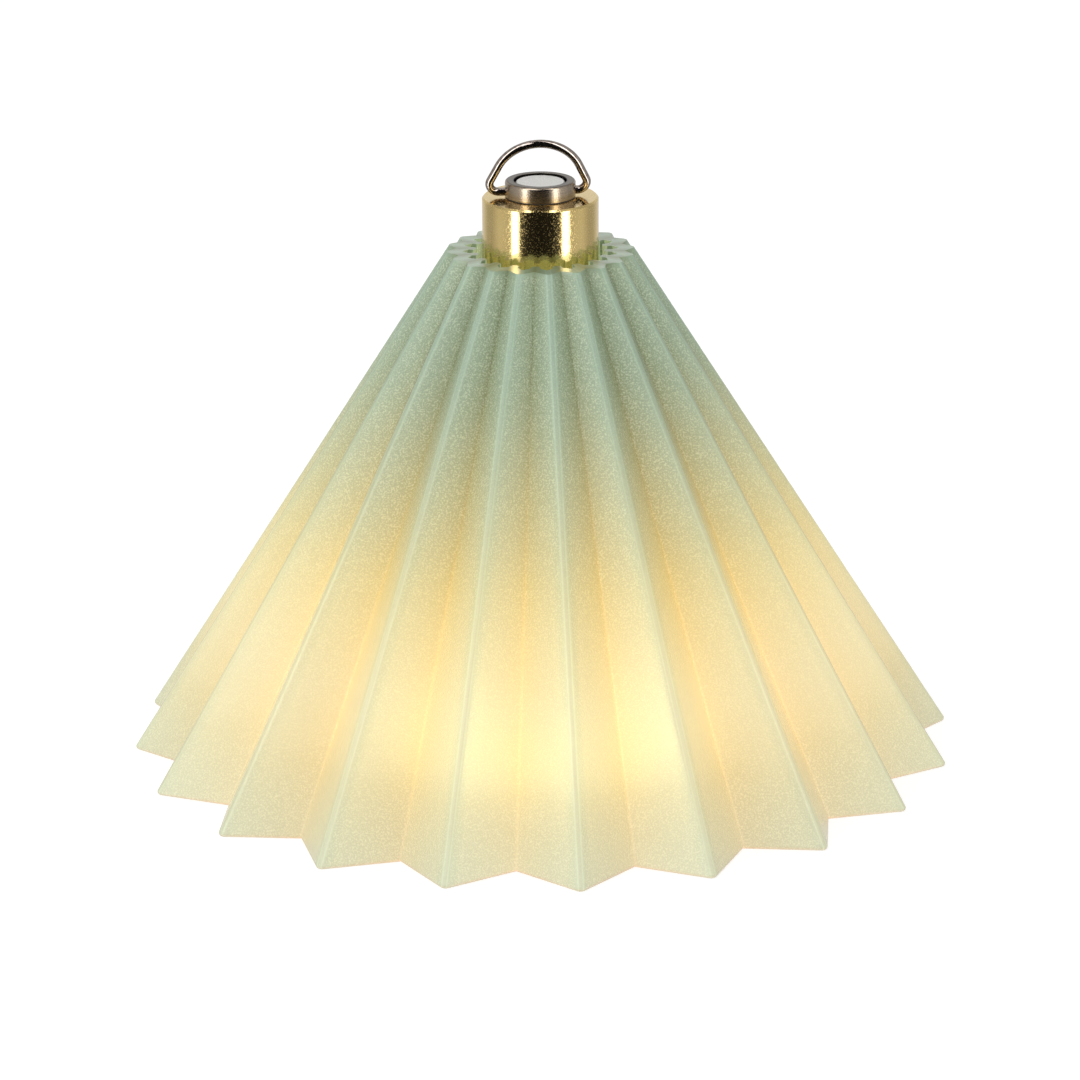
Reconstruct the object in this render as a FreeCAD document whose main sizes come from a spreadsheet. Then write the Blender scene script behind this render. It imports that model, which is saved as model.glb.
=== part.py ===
import FreeCAD, Part
import math
import os
import re

import Sketcher

# Pleated table lamp in millimetres, +Z up.
# The origin lies on the table, on the axis of the lamp, and one ridge of the shade points to -Y.
# A small battery lantern stands on its light end. The pleated shade drops over it from above.
# The brass cap of the lantern stands through the neck of the shade and carries button and ring.

# Driving sizes. Lengths are in millimetres, names that end in angle are degrees.
SIZES = {
    # Shade: a folded cone whose wall is measured along the radius, through a ridge.
    "pleat_count": 20,
    "rim_radius": 70.3,
    "pleat_depth": 8.9,
    "shade_height": 86.1,
    "shade_wall": 3.0,
    "ridge_round": 1.1,
    "rim_round": 0.5,
    # Teeth inside the neck, one behind each valley.
    "neck_gap": 0.95,
    "tooth_depth": 0.75,
    "tooth_width": 1.5,
    "tooth_height": 6.1,
    "tooth_round": 0.6,
    "tooth_root_share": 0.5,
    # Collar and snap ring that the shade hangs on.
    "seat_gap": 0.3,
    "collar_height": 3.5,
    "collar_fit": 0.05,
    "clip_thickness": 1.0,
    "clip_reach": 1.4,
    "clip_groove": 0.55,
    "clip_fit": 0.04,
    "clip_mouth": 7.0,
    # Brass cap.
    "cap_radius": 9.65,
    "cap_rise": 9.1,
    "cap_wall": 1.25,
    "cap_end": 3.0,
    "cap_break": 0.3,
    # Thread between cap and tube, drawn plain.
    "thread_length": 8.0,
    "thread_relief": 0.4,
    "thread_skin": 0.65,
    "thread_fit": 0.05,
    # Flat seals.
    "seal_thickness": 0.5,
    "bezel_seal_thickness": 0.12,
    # Steel bezel round the button.
    "cap_shelf": 3.8,
    "bezel_height": 2.8,
    "bezel_wall": 1.45,
    "bezel_neck_wall": 0.8,
    "bezel_round": 0.4,
    "bezel_break": 0.08,
    # Push button.
    "button_gap": 0.35,
    "button_sink": 0.25,
    "button_break": 0.15,
    "button_travel": 0.6,
    "button_stop_gap": 0.2,
    "lip_overlap": 0.8,
    "lip_thickness": 1.0,
    "stem_radius": 2.0,
    "stem_length": 2.4,
    "oring_groove": 0.6,
    "oring_fit": 0.03,
    # Switch and the sleeve that holds it.
    "switch_height": 7.0,
    "plunger_radius": 1.5,
    "plunger_depth": 1.5,
    "plunger_fit": 0.1,
    "carrier_length": 13.6,
    "carrier_wall": 3.0,
    "carrier_gap": 0.35,
    "carrier_fit": 0.1,
    "switch_board_thickness": 1.2,
    "retaining_thickness": 2.0,
    "retaining_wall": 2.6,
    "spanner_slot": 1.2,
    # Spring between switch board and cell.
    "spring_length": 7.0,
    "spring_wire_radius": 0.45,
    "spring_gap": 0.25,
    "spring_narrow_share": 0.64,
    "spring_turn_count": 4,
    # Tube and cell.
    "tube_wall": 1.35,
    "cell_fit": 0.2,
    "cell_round": 0.6,
    "crimp_depth": 0.5,
    "crimp_width": 1.2,
    "terminal_radius": 3.2,
    "terminal_height": 1.0,
    # Head with the driver.
    "flange_height": 4.0,
    "fin_groove_count": 2,
    "fin_groove": 0.9,
    "fin_depth": 1.1,
    "spigot_length": 5.5,
    "driver_thickness": 1.2,
    "driver_ledge": 0.7,
    "driver_rim": 0.6,
    "driver_pit": 2.6,
    "coil_radius": 2.2,
    "coil_height": 2.0,
    "chip_side": 3.0,
    "chip_height": 1.1,
    "driver_part_share": 0.43,
    "contact_radius": 2.4,
    "contact_height": 0.8,
    # Light board under the head.
    "nose_length": 3.5,
    "nose_wall_gap": 0.1,
    "pad_thickness": 0.5,
    "led_board_thickness": 1.4,
    "led_board_inset": 0.5,
    "emitter_count": 4,
    "emitter_side": 1.9,
    "emitter_height": 0.8,
    "emitter_circle_radius": 3.8,
    "lead_radius": 0.6,
    "lead_edge": 2.6,
    "lead_fit": 0.1,
    "screw_radius": 0.95,
    "screw_fit": 0.05,
    "screw_length": 5.0,
    "screw_head_radius": 1.6,
    "screw_head_height": 1.1,
    "screw_edge": 2.2,
    # Frosted globe, the foot of the lantern.
    "globe_height": 24.9,
    "globe_wall": 1.4,
    "globe_inset": 0.15,
    "globe_round": 4.0,
    # Bent wire ring.
    "ring_reach": 2.2,
    "ring_corner": 1.6,
    "ring_bow_radius": 7.3,
    "ring_rise": 9.3,
    "ring_wire_radius": 0.69,
    "ring_lift": 0.95,
    "ring_shift": 0.4,
    "ring_lean_angle": 20.0,
    "pin_depth": 1.25,
    "pin_end_gap": 0.07,
    "pin_fit": 0.05,
    # How far each cutting body runs past the piece that it cuts.
    "cut_overrun": 1.0,
}

# Heights and radii that follow from the driving sizes, as formulas of the sheet.
HALF_PLEAT = "(180 / pleat_count)"
VALLEY_SHARE = "((rim_radius - pleat_depth) / rim_radius)"
TOOTH_TIP = "(cap_radius + neck_gap)"
NECK_INNER_RIDGE = f"(({TOOTH_TIP} + tooth_depth) / {VALLEY_SHARE})"
NECK_RIDGE = f"({NECK_INNER_RIDGE} + shade_wall)"
VALLEY_SLOPE = f"((rim_radius - {NECK_RIDGE}) * {VALLEY_SHARE} / shade_height)"
TOOTH_FLOOR = "(shade_height - tooth_height)"
COLLAR_TOP = f"({TOOTH_FLOOR} - seat_gap)"
COLLAR_FLOOR = f"({COLLAR_TOP} - collar_height)"
CLIP_FLOOR = f"({COLLAR_FLOOR} - clip_fit - clip_thickness)"

CAP_TOP = "(shade_height + cap_rise)"
CAP_CEILING = f"({CAP_TOP} - cap_end)"
CAP_BORE = "(cap_radius - cap_wall)"
THREAD_BORE = "(cap_radius - thread_skin)"
BOARD_TOP = f"({CAP_CEILING} - carrier_length)"
BOARD_FLOOR = f"({BOARD_TOP} - switch_board_thickness)"
RETAINER_FLOOR = f"({BOARD_FLOOR} - retaining_thickness)"
TUBE_TOP = f"({RETAINER_FLOOR} - thread_relief)"
CAP_FLOOR = f"({TUBE_TOP} - thread_length)"
TUBE_SHOULDER = f"({CAP_FLOOR} - seal_thickness)"
TUBE_BORE = "(cap_radius - tube_wall)"

BEZEL_RADIUS = "(cap_radius - cap_shelf)"
BEZEL_BORE = f"({BEZEL_RADIUS} - bezel_wall)"
BEZEL_FLOOR = f"({CAP_TOP} + bezel_seal_thickness)"
BEZEL_TOP = f"({CAP_TOP} + bezel_height)"
BEZEL_NECK = f"({BEZEL_BORE} + bezel_neck_wall)"
RING_HEIGHT = f"({CAP_TOP} + ring_lift)"
RING_HALF_WIDTH = f"({BEZEL_RADIUS} + ring_reach)"
PIN_END = f"({BEZEL_RADIUS} - pin_depth + pin_end_gap + ring_shift)"
BUTTON_TOP = f"({BEZEL_TOP} - button_sink)"
BUTTON_RADIUS = f"({BEZEL_BORE} - button_gap)"
LIP_TOP = f"({CAP_CEILING} - button_stop_gap)"
LIP_FLOOR = f"({LIP_TOP} - lip_thickness)"
LIP_RADIUS = f"({BEZEL_BORE} + lip_overlap)"
STEM_FLOOR = f"({LIP_FLOOR} - stem_length)"
SWITCH_TOP = f"({BOARD_TOP} + switch_height)"
CARRIER_RADIUS = f"({CAP_BORE} - carrier_fit)"
CARRIER_BORE = f"({CARRIER_RADIUS} - carrier_wall)"
SWITCH_SIDE = f"(({CARRIER_BORE} - carrier_gap) * sqrt(2))"
RETAINING_BORE = f"({CARRIER_RADIUS} - retaining_wall)"
SPRING_WIDE = f"({RETAINING_BORE} - spring_gap - spring_wire_radius)"
ORING_RADIUS = "((button_gap + oring_groove) / 2 - oring_fit)"
ORING_HEIGHT = f"({CAP_CEILING} + cap_end / 2)"

GLOBE_RADIUS = "(cap_radius - globe_inset)"
GLOBE_BORE = f"({GLOBE_RADIUS} - globe_wall)"
HEAD_FLOOR = "(globe_height + seal_thickness)"
FLANGE_TOP = f"({HEAD_FLOOR} + flange_height)"
TUBE_FLOOR = f"({FLANGE_TOP} + seal_thickness)"
SPIGOT_TOP = f"({TUBE_FLOOR} + spigot_length)"
SPIGOT_RADIUS = f"({TUBE_BORE} - thread_fit)"
DRIVER_FLOOR = f"({SPIGOT_TOP} - driver_thickness)"
DRIVER_RADIUS = f"({SPIGOT_RADIUS} - driver_rim)"
CONTACT_TOP = f"({SPIGOT_TOP} + contact_height)"
CELL_FLOOR = f"({CONTACT_TOP} + terminal_height)"
CELL_TOP = f"({BOARD_FLOOR} - spring_length)"
CELL_RADIUS = f"({TUBE_BORE} - cell_fit)"
NOSE_FLOOR = f"({HEAD_FLOOR} - nose_length)"
NOSE_RADIUS = f"({GLOBE_BORE} - nose_wall_gap)"
LED_BOARD_TOP = f"({NOSE_FLOOR} - pad_thickness)"
LED_BOARD_FLOOR = f"({LED_BOARD_TOP} - led_board_thickness)"
LED_BOARD_RADIUS = f"({NOSE_RADIUS} - led_board_inset)"
LEAD_OFFSET = f"({LED_BOARD_RADIUS} - lead_edge)"
SCREW_OFFSET = f"({LED_BOARD_RADIUS} - screw_edge)"
PIT_RADIUS = f"({DRIVER_RADIUS} - driver_ledge)"
DRIVER_PART_OFFSET = f"({PIT_RADIUS} * driver_part_share)"

X_AXIS = FreeCAD.Vector(1, 0, 0)
Y_AXIS = FreeCAD.Vector(0, 1, 0)
SIDES = ("-", "")

doc = FreeCAD.newDocument("pleated_lamp")
sheet = doc.addObject("Spreadsheet::Sheet", "sizes")
for row, (name, number) in enumerate(SIZES.items(), start=1):
    sheet.set(f"A{row}", name)
    sheet.set(f"B{row}", str(number))
    sheet.setAlias(f"B{row}", name)
doc.recompute()

sub_parts = []


# Helpers

def size(name):
    """A driving size as a number."""
    return float(sheet.get(name))


def formula(text):
    """The formula with each size name pointing at its cell of the sheet."""
    return re.sub(r"\b[a-z]+(?:_[a-z]+)+\b", r"sizes.\g<0>", text)


def value(text):
    """A formula of the sheet as a number."""
    return float(sheet.evalExpression(formula(text)))


def bind(thing, **formulas):
    """Ties properties of a document object to formulas of the sheet."""
    for name, text in formulas.items():
        thing.setExpression(name, formula(text))
    return thing


def place(thing, x="0", y="0", z="0"):
    """Ties the position of a document object to formulas of the sheet."""
    for axis, text in (("x", x), ("y", y), ("z", z)):
        thing.setExpression(f"Placement.Base.{axis}", formula(text))
    return thing


def keep(thing, label):
    """Names a finished sub-part and lists it for export."""
    thing.Label = label
    sub_parts.append(thing)
    return thing


def origin_feature(body, role):
    """An origin plane or axis of a body, found by its role."""
    return next(feature for feature in body.Origin.OriginFeatures if feature.Role == role)


def new_sketch(body, role, name):
    """An empty sketch on one of the body's origin planes."""
    sketch = body.newObject("Sketcher::SketchObject", name)
    sketch.AttachmentSupport = [(origin_feature(body, role), "")]
    sketch.MapMode = "FlatFace"
    return sketch


def fix_point(sketch, geometry, point, x=None, y=None):
    """Ties a point of the sketch to formulas of the sheet."""
    now = sketch.getPoint(geometry, point)
    for kind, text, drawn in (("DistanceX", x, now.x), ("DistanceY", y, now.y)):
        if text is not None:
            index = sketch.addConstraint(Sketcher.Constraint(kind, -1, 1, geometry, point, drawn))
            sketch.setExpression(f"Constraints[{index}]", formula(text))


def outline(body, role, points, name):
    """A closed sketch of straight lines through points given as pairs of formulas."""
    sketch = new_sketch(body, role, name)
    count = len(points)
    turns = [2 * math.pi * index / count for index in range(count)]
    start = [FreeCAD.Vector(math.cos(turn), math.sin(turn), 0) for turn in turns]
    for index in range(count):
        sketch.addGeometry(Part.LineSegment(start[index], start[(index + 1) % count]), False)
    for index in range(count):
        sketch.addConstraint(Sketcher.Constraint("Coincident", index, 2, (index + 1) % count, 1))
    for index, (x, y) in enumerate(points):
        fix_point(sketch, index, 1, x, y)
    return sketch


def disc_sketch(body, role, radius, name):
    """A sketch of one circle about the origin of the body's plane."""
    sketch = new_sketch(body, role, name)
    circle = Part.Circle(FreeCAD.Vector(0, 0, 0), FreeCAD.Vector(0, 0, 1), 1)
    sketch.addGeometry(circle, False)
    sketch.addConstraint(Sketcher.Constraint("Coincident", 0, 3, -1, 1))
    index = sketch.addConstraint(Sketcher.Constraint("Radius", 0, 1.0))
    sketch.setExpression(f"Constraints[{index}]", formula(radius))
    return sketch


def turned(name, points):
    """A body turned about the lamp's axis from an outline of radius and height."""
    body = doc.addObject("PartDesign::Body", name)
    profile = outline(body, "XZ_Plane", points, f"{name}_profile")
    turn = body.newObject("PartDesign::Revolution", f"{name}_turn")
    turn.Profile = profile
    turn.ReferenceAxis = (profile, ["V_Axis"])
    turn.Angle = 360
    return body


def turned_ring(name, inner, outer, floor, top):
    """A plain turned ring, or a disc where the inner radius is 0."""
    return turned(name, [(inner, floor), (outer, floor), (outer, top), (inner, top)])


def rounded(body, pick, radius):
    """Rounds the edges of the body's last feature that pick accepts."""
    doc.recompute()
    base = body.Tip
    edges = [f"Edge{index}" for index, edge in enumerate(base.Shape.Edges, start=1) if pick(edge)]
    fillet = body.newObject("PartDesign::Fillet", f"{body.Name}_round")
    fillet.Base = (base, edges)
    bind(fillet, Radius=radius)
    body.Tip = fillet
    return body


def cylinder(name, radius, height, x="0", y="0", z="0"):
    """A Part cylinder that stands along +Z."""
    made = doc.addObject("Part::Cylinder", name)
    bind(made, Radius=radius, Height=height)
    return place(made, x, y, z)


def block(name, length, width, height, x="0", y="0", z="0"):
    """A Part box, centred in X and Y on the place given."""
    made = doc.addObject("Part::Box", name)
    bind(made, Length=length, Width=width, Height=height)
    return place(made, f"{x} - ({length}) / 2", f"{y} - ({width}) / 2", z)


def group(name, pieces):
    """Several document objects held as one."""
    made = doc.addObject("Part::Compound", name)
    made.Links = pieces
    return made


def cut(name, base, tool):
    """The base with the tool taken away."""
    made = doc.addObject("Part::Cut", name)
    made.Base = base
    made.Tool = tool
    return made


def ends(edge):
    """Height and distance from the axis of the two ends of an edge, lower end first."""
    return sorted((v.Point.z, math.hypot(v.Point.x, v.Point.y)) for v in edge.Vertexes)


def is_circle_at(edge, height, radius):
    """Whether an edge is a full circle about the axis, at a height and radius given as formulas."""
    closed = len(edge.Vertexes) == 1 and edge.Curve.TypeId == "Part::GeomCircle"
    return closed and same(edge.Curve.Center.z, value(height)) and same(edge.Curve.Radius, value(radius))


def same(one, other):
    """Whether two lengths are equal within a small share of the lamp's height."""
    equal_share = 1e-6
    return abs(one - other) < equal_share * size("shade_height")


# Shade and what it hangs on

def pleat_outline(ridge, inner_ridge):
    """Wall section of one pleat, from ridge to ridge round the valley at -Y."""
    points = []
    for radius, sides in ((ridge, ("-", "0", "")), (inner_ridge, ("", "0", "-"))):
        for side in sides:
            if side == "0":
                points.append(("0", f"-{radius} * {VALLEY_SHARE}"))
            else:
                points.append((f"{side}{radius} * sin{HALF_PLEAT}", f"-{radius} * cos{HALF_PLEAT}"))
    return points


def make_shade():
    """Twenty flat-sided pleats round the axis, with teeth inside the neck."""
    body = doc.addObject("PartDesign::Body", "shade")
    rim = outline(body, "XY_Plane", pleat_outline("rim_radius", "(rim_radius - shade_wall)"), "rim")
    neck = outline(body, "XY_Plane", pleat_outline(NECK_RIDGE, NECK_INNER_RIDGE), "neck")
    neck.setExpression("AttachmentOffset.Base.z", formula("shade_height"))
    pleat = body.newObject("PartDesign::AdditiveLoft", "pleat")
    pleat.Profile = rim
    pleat.Sections = [neck]
    pleat.Ruled = True

    root = f"({TOOTH_TIP} + tooth_depth + shade_wall * {VALLEY_SHARE} * tooth_root_share)"
    tooth_points = [
        (f"-{TOOTH_TIP}", "shade_height"),
        (f"-{root}", "shade_height"),
        (f"-({root} + {VALLEY_SLOPE} * tooth_height)", TOOTH_FLOOR),
        (f"-{TOOTH_TIP}", TOOTH_FLOOR),
    ]
    tooth = body.newObject("PartDesign::Pad", "tooth")
    tooth.Profile = outline(body, "YZ_Plane", tooth_points, "tooth_side")
    tooth.Midplane = True
    bind(tooth, Length="tooth_width")

    ring = body.newObject("PartDesign::PolarPattern", "pleat_ring")
    ring.Originals = [pleat, tooth]
    ring.Axis = (origin_feature(body, "Z_Axis"), [""])
    ring.Angle = 360
    bind(ring, Occurrences="pleat_count")
    body.Tip = ring

    def is_ridge(edge):
        low, high = ends(edge)[0], ends(edge)[-1]
        return same(low[0], 0) and same(low[1], size("rim_radius")) and same(high[0], size("shade_height"))

    def is_tooth_edge(edge):
        low, high = ends(edge)[0], ends(edge)[-1]
        tip = math.hypot(value(TOOTH_TIP), size("tooth_width") / 2)
        return same(low[1], tip) and same(high[1], tip) and high[0] - low[0] > size("tooth_round")

    def is_rim_edge(edge):
        low, high = ends(edge)[0], ends(edge)[-1]
        widest = max(low[1], high[1])
        inner_ridge = size("rim_radius") - size("shade_wall")
        on_table = same(low[0], 0) and same(high[0], 0)
        return on_table and widest > inner_ridge and not same(widest, inner_ridge)

    rounded(body, is_ridge, "ridge_round")
    rounded(body, is_rim_edge, "rim_round")
    rounded(body, is_tooth_edge, "tooth_round")
    body.Placement.Rotation = FreeCAD.Rotation(FreeCAD.Vector(0, 0, 1), 1)
    body.setExpression("Placement.Rotation.Angle", formula(HALF_PLEAT))
    keep(body, "shade")


def make_shade_collar():
    """Tapered ring under the teeth of the neck."""
    neck = f"({TOOTH_TIP} + tooth_depth - seat_gap)"
    top = f"({neck} + {VALLEY_SLOPE} * (shade_height - {COLLAR_TOP}))"
    floor = f"({neck} + {VALLEY_SLOPE} * (shade_height - {COLLAR_FLOOR}))"
    bore = "cap_radius + collar_fit"
    points = [(bore, COLLAR_FLOOR), (floor, COLLAR_FLOOR), (top, COLLAR_TOP), (bore, COLLAR_TOP)]
    keep(turned("shade_collar", points), "shade_collar")


def make_collar_clip():
    """Open snap ring in the groove of the cap."""
    inner = "cap_radius - clip_groove + clip_fit"
    outer = "cap_radius + clip_reach"
    floor = CLIP_FLOOR
    whole = turned_ring("clip_whole", inner, outer, floor, f"{floor} + clip_thickness")
    reach = f"({outer} + cut_overrun)"
    height = "clip_thickness + 2 * cut_overrun"
    mouth = block("clip_gap", "clip_mouth", reach, height, y=f"{reach} / 2", z=f"{floor} - cut_overrun")
    keep(cut("collar_clip", whole, mouth), "collar_clip")


# Cap with button, bezel and ring

def make_tail_cap():
    """Brass cap: closed top with a hole for the bezel, stepped bore, groove for the snap ring."""
    hole = f"{BEZEL_NECK} + thread_fit"
    groove = "cap_radius - clip_groove"
    groove_floor = f"{CLIP_FLOOR} - clip_fit"
    points = [
        (THREAD_BORE, CAP_FLOOR),
        ("cap_radius", CAP_FLOOR),
        ("cap_radius", groove_floor),
        (groove, groove_floor),
        (groove, COLLAR_FLOOR),
        ("cap_radius", COLLAR_FLOOR),
        ("cap_radius", f"{CAP_TOP} - cap_break"),
        ("cap_radius - cap_break", CAP_TOP),
        (hole, CAP_TOP),
        (hole, CAP_CEILING),
        (CAP_BORE, CAP_CEILING),
        (CAP_BORE, f"{TUBE_TOP} + thread_relief"),
        (THREAD_BORE, f"{TUBE_TOP} + thread_relief"),
    ]
    keep(turned("tail_cap", points), "tail_cap")


def make_bezel():
    """Steel collar with a threaded neck and a blind hole in each side for the ring."""
    points = [
        (BEZEL_BORE, CAP_CEILING),
        (BEZEL_NECK, CAP_CEILING),
        (BEZEL_NECK, BEZEL_FLOOR),
        (f"{BEZEL_RADIUS} - bezel_break", BEZEL_FLOOR),
        (BEZEL_RADIUS, f"{BEZEL_FLOOR} + bezel_break"),
        (BEZEL_RADIUS, BEZEL_TOP),
        (f"{BEZEL_BORE} + bezel_break", BEZEL_TOP),
        (BEZEL_BORE, f"{BEZEL_TOP} - bezel_break"),
    ]
    blank = turned("bezel_blank", points)
    rounded(blank, lambda edge: is_circle_at(edge, BEZEL_TOP, BEZEL_RADIUS), "bezel_round")
    holes = []
    for number, side in enumerate(SIDES):
        start = f"{side}({BEZEL_RADIUS} - pin_depth)"
        hole = cylinder(f"pin_hole_{number}", "ring_wire_radius + pin_fit", "pin_depth + cut_overrun")
        hole.Placement.Rotation = FreeCAD.Rotation(Y_AXIS, -90 if side else 90)
        holes.append(place(hole, start, "0", RING_HEIGHT))
    keep(cut("bezel", blank, group("pin_holes", holes)), "bezel")


def make_button():
    """Button with a retaining lip, a groove for its seal and a stem down to the switch."""
    groove = f"{BUTTON_RADIUS} - oring_groove"
    half = f"({ORING_RADIUS} + oring_fit)"
    points = [
        ("0", STEM_FLOOR),
        ("stem_radius", STEM_FLOOR),
        ("stem_radius", LIP_FLOOR),
        (LIP_RADIUS, LIP_FLOOR),
        (LIP_RADIUS, LIP_TOP),
        (BUTTON_RADIUS, LIP_TOP),
        (BUTTON_RADIUS, f"{ORING_HEIGHT} - {half}"),
        (groove, f"{ORING_HEIGHT} - {half}"),
        (groove, f"{ORING_HEIGHT} + {half}"),
        (BUTTON_RADIUS, f"{ORING_HEIGHT} + {half}"),
        (BUTTON_RADIUS, f"{BUTTON_TOP} - button_break"),
        (f"{BUTTON_RADIUS} - button_break", BUTTON_TOP),
        ("0", BUTTON_TOP),
    ]
    keep(turned("button", points), "button")
    oring = doc.addObject("Part::Torus", "button_oring")
    bind(oring, Radius1=f"{BUTTON_RADIUS} - oring_groove + {half}", Radius2=ORING_RADIUS)
    keep(place(oring, z=ORING_HEIGHT), "button_oring")


def ring_spine(body):
    """Centre line of the bent wire: pin, corner, straight flank, bow, flank, corner, pin."""
    sketch = new_sketch(body, "XZ_Plane", "ring_spine")
    corner = f"({RING_HALF_WIDTH} - ring_corner)"
    bend = size("ring_corner")
    bow_radius = size("ring_bow_radius")
    bow_height = size("ring_rise") - bow_radius
    inner = value(PIN_END)
    straight = value(corner)
    fall = math.atan2(bend - bow_height, straight)
    span = math.hypot(straight, bow_height - bend)
    tilt = math.degrees(fall + math.acos((bow_radius - bend) / span))

    def arc(x, z, radius, start, stop):
        circle = Part.Circle(FreeCAD.Vector(x, z, 0), FreeCAD.Vector(0, 0, 1), radius)
        return Part.ArcOfCircle(circle, math.radians(start), math.radians(stop))

    def line(start, stop):
        return Part.LineSegment(FreeCAD.Vector(*start, 0), FreeCAD.Vector(*stop, 0))

    def on_arc(x, z, radius, turn):
        return x + radius * math.cos(math.radians(turn)), z + radius * math.sin(math.radians(turn))

    left_pin, left_bend, left_flank, bow, right_flank, right_bend, right_pin = range(7)
    sketch.addGeometry(line((-inner, 0), (-straight, 0)), False)
    sketch.addGeometry(arc(-straight, bend, bend, 180 - tilt, 270), False)
    sketch.addGeometry(
        line(on_arc(-straight, bend, bend, 180 - tilt), on_arc(0, bow_height, bow_radius, 180 - tilt)), False)
    sketch.addGeometry(arc(0, bow_height, bow_radius, tilt, 180 - tilt), False)
    sketch.addGeometry(line(on_arc(0, bow_height, bow_radius, tilt), on_arc(straight, bend, bend, tilt)), False)
    sketch.addGeometry(arc(straight, bend, bend, 270, 360 + tilt), False)
    sketch.addGeometry(line((straight, 0), (inner, 0)), False)

    for kind, one, one_end, other, other_end in (
        ("Coincident", left_pin, 2, left_bend, 2),
        ("Tangent", left_bend, 1, left_flank, 1),
        ("Tangent", left_flank, 2, bow, 2),
        ("Tangent", bow, 1, right_flank, 1),
        ("Tangent", right_flank, 2, right_bend, 2),
        ("Coincident", right_bend, 1, right_pin, 1),
    ):
        sketch.addConstraint(Sketcher.Constraint(kind, one, one_end, other, other_end))
    for pin_line, inner_end, outer_end, side in ((left_pin, 1, 2, "-"), (right_pin, 2, 1, "")):
        fix_point(sketch, pin_line, inner_end, f"{side}{PIN_END}", "0")
        fix_point(sketch, pin_line, outer_end, f"{side}{corner}", "0")
    for bend_arc, side in ((left_bend, "-"), (right_bend, "")):
        fix_point(sketch, bend_arc, 3, f"{side}{corner}", "ring_corner")
    fix_point(sketch, bow, 3, "0", "ring_rise - ring_bow_radius")
    index = sketch.addConstraint(Sketcher.Constraint("Radius", bow, bow_radius))
    sketch.setExpression(f"Constraints[{index}]", formula("ring_bow_radius"))
    return sketch


def make_hanging_ring():
    """Round wire swept along its centre line, slid to one side and leaning to the front as it was left."""
    body = doc.addObject("PartDesign::Body", "hanging_ring")
    spine = ring_spine(body)
    section = disc_sketch(body, "YZ_Plane", "ring_wire_radius", "ring_section")
    section.setExpression("AttachmentOffset.Base.z", formula(f"-{PIN_END}"))
    doc.recompute()
    pipe = body.newObject("PartDesign::AdditivePipe", "ring_wire")
    pipe.Profile = section
    pipe.Spine = (spine, [f"Edge{number}" for number in range(1, 8)])
    body.Placement.Rotation = FreeCAD.Rotation(X_AXIS, 1)
    body.setExpression("Placement.Rotation.Angle", formula("ring_lean_angle"))
    keep(place(body, x="-ring_shift", z=RING_HEIGHT), "hanging_ring")


# Switch inside the cap

def make_switch():
    """Click switch on its board, its pin, and the sleeve and threaded ring that hold it."""
    pin_floor = f"({SWITCH_TOP} - plunger_depth)"
    pin = turned_ring("switch_plunger", "0", "plunger_radius", pin_floor, STEM_FLOOR)
    keep(pin, "switch_plunger")

    case = block("switch_case", SWITCH_SIDE, SWITCH_SIDE, "switch_height", z=BOARD_TOP)
    depth = "(plunger_depth + button_travel + plunger_fit)"
    pocket = cylinder(
        "plunger_pocket",
        "plunger_radius + plunger_fit",
        f"{depth} + cut_overrun",
        z=f"{SWITCH_TOP} - {depth}",
    )
    keep(cut("switch_body", case, pocket), "switch_body")

    wide = f"{LIP_RADIUS} + carrier_gap"
    step = f"{SWITCH_TOP} + carrier_gap"
    points = [
        (CARRIER_BORE, BOARD_TOP),
        (CARRIER_RADIUS, BOARD_TOP),
        (CARRIER_RADIUS, CAP_CEILING),
        (wide, CAP_CEILING),
        (wide, step),
        (CARRIER_BORE, step),
    ]
    keep(turned("switch_carrier", points), "switch_carrier")
    keep(turned_ring("switch_board", "0", CARRIER_RADIUS, BOARD_FLOOR, BOARD_TOP), "switch_board")

    whole = turned_ring("retainer_whole", RETAINING_BORE, CARRIER_RADIUS, RETAINER_FLOOR, BOARD_FLOOR)
    slot = block(
        "spanner_cut",
        "2 * cap_radius",
        "spanner_slot",
        "spanner_slot + cut_overrun",
        z=f"{RETAINER_FLOOR} - cut_overrun",
    )
    keep(cut("retaining_ring", whole, slot), "retaining_ring")


def make_cell_spring():
    """Cone spring of half turns, each a tilted half circle, so that the wire runs on smoothly."""
    wire = size("spring_wire_radius")
    wide = value(SPRING_WIDE)
    narrow = wide * size("spring_narrow_share")
    climb = size("spring_length") - 2 * wire
    count = 2 * int(size("spring_turn_count"))
    ends_of_halves = []
    for index in range(count + 1):
        share = index / count
        radius = narrow + (wide - narrow) * share
        side = 1 if index % 2 == 0 else -1
        ends_of_halves.append(FreeCAD.Vector(side * radius, 0, climb * share))
    edges = []
    for index in range(count):
        first = ends_of_halves[index]
        last = ends_of_halves[index + 1]
        side = 1 if index % 2 == 0 else -1
        middle = (first + last) * 0.5 + Y_AXIS * (side * (last - first).Length / 2)
        edges.append(Part.Arc(first, middle, last).toShape())
    section = Part.Wire(Part.makeCircle(wire, ends_of_halves[0], Y_AXIS))
    spring = doc.addObject("Part::Feature", "cell_spring")
    spring.Shape = Part.Wire(edges).makePipeShell([section], True, False)
    keep(place(spring, z=f"{CELL_TOP} + spring_wire_radius"), "cell_spring")


# Tube, cell and seals

def make_battery_tube():
    """Tube with a reduced, threaded upper end inside the cap."""
    thread = f"{THREAD_BORE} - thread_fit"
    points = [
        (TUBE_BORE, TUBE_FLOOR),
        ("cap_radius", TUBE_FLOOR),
        ("cap_radius", TUBE_SHOULDER),
        (thread, TUBE_SHOULDER),
        (thread, TUBE_TOP),
        (TUBE_BORE, TUBE_TOP),
    ]
    keep(turned("battery_tube", points), "battery_tube")


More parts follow.
